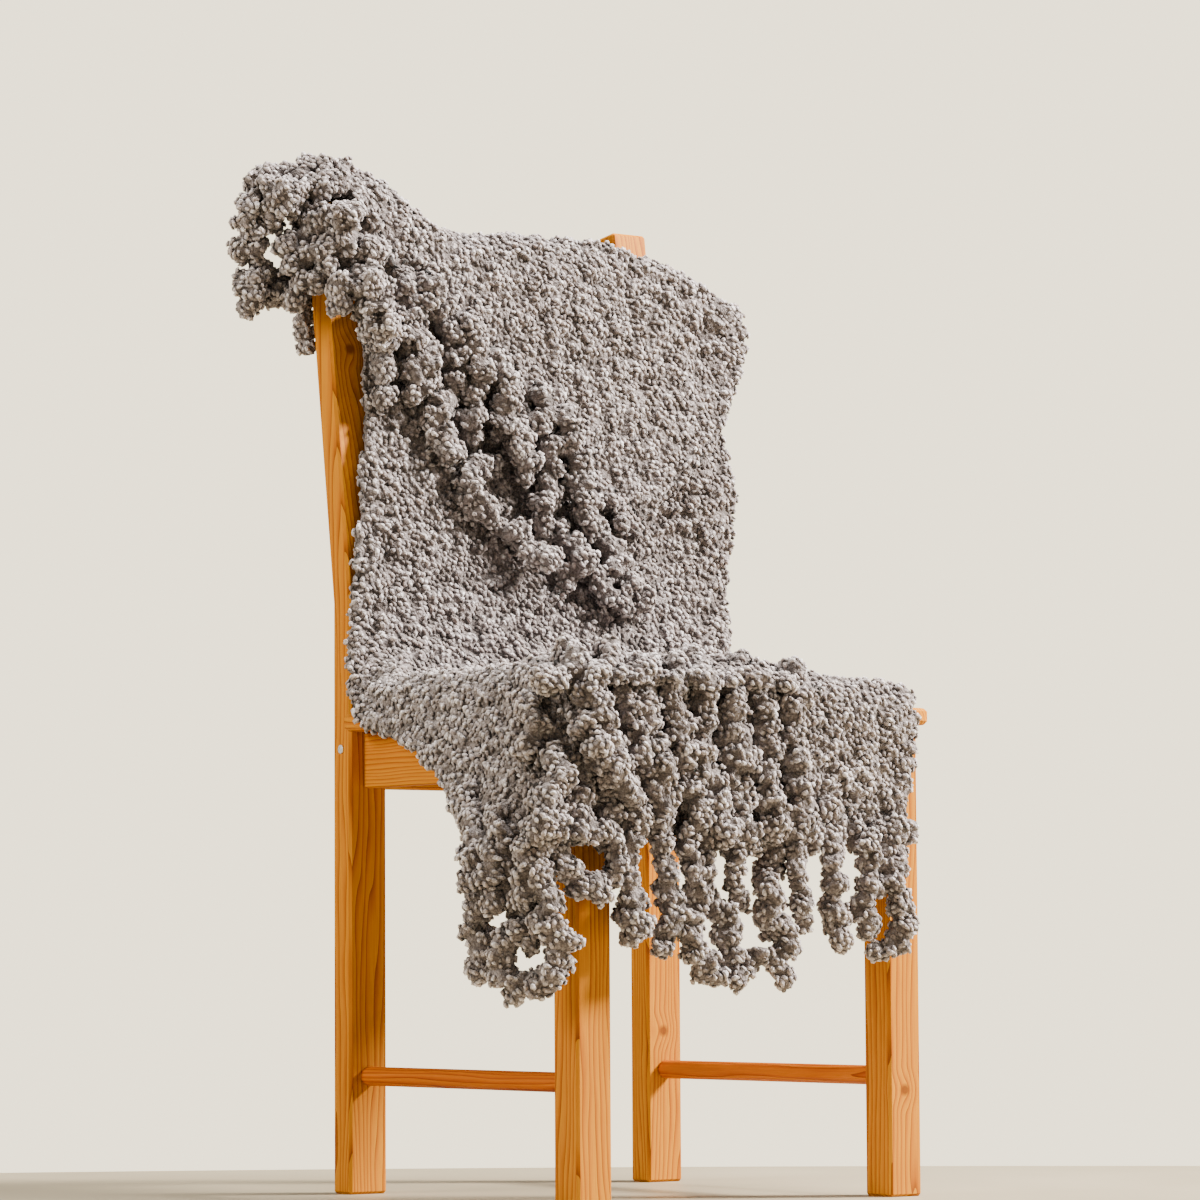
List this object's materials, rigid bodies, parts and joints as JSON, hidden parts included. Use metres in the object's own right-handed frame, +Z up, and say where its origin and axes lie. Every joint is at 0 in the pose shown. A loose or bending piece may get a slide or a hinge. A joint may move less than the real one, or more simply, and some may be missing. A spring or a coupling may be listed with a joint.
{
  "type": "crochet blanket on a chair",
  "caption": "Chunky fringed crochet blanket thrown over a plain wooden chair: down over the seat's front, up the back and folded forward over the top rail.",
  "frame": {"origin": "middle of the whole object's footprint on the floor", "axes": "+X to the chair's right as seen from the front, +Y to the rear, +Z up from the floor"},
  "size_m": [0.5841, 0.5661, 0.9995],
  "materials": {
    "yarn": "chunky boucle yarn, matt, warm grey",
    "pine": "oiled honey-coloured pine, satin",
    "screw_steel": "zinc plated, dull bright"
  },
  "bodies": {
    "root": {"blanket": "yarn", "fringe_lower": "yarn", "fringe_upper": "yarn", "fringe_flap": "yarn", "post_left": "pine", "post_right": "pine", "leg_left": "pine", "leg_right": "pine", "seat": "pine", "apron_left": "pine", "apron_right": "pine", "apron_front": "pine", "apron_rear": "pine", "rung_left": "pine", "rung_right": "pine", "rail_top": "pine", "rail_low": "pine", "bolt_left": "screw_steel", "bolt_right": "screw_steel"}
  },
  "joints": []
}
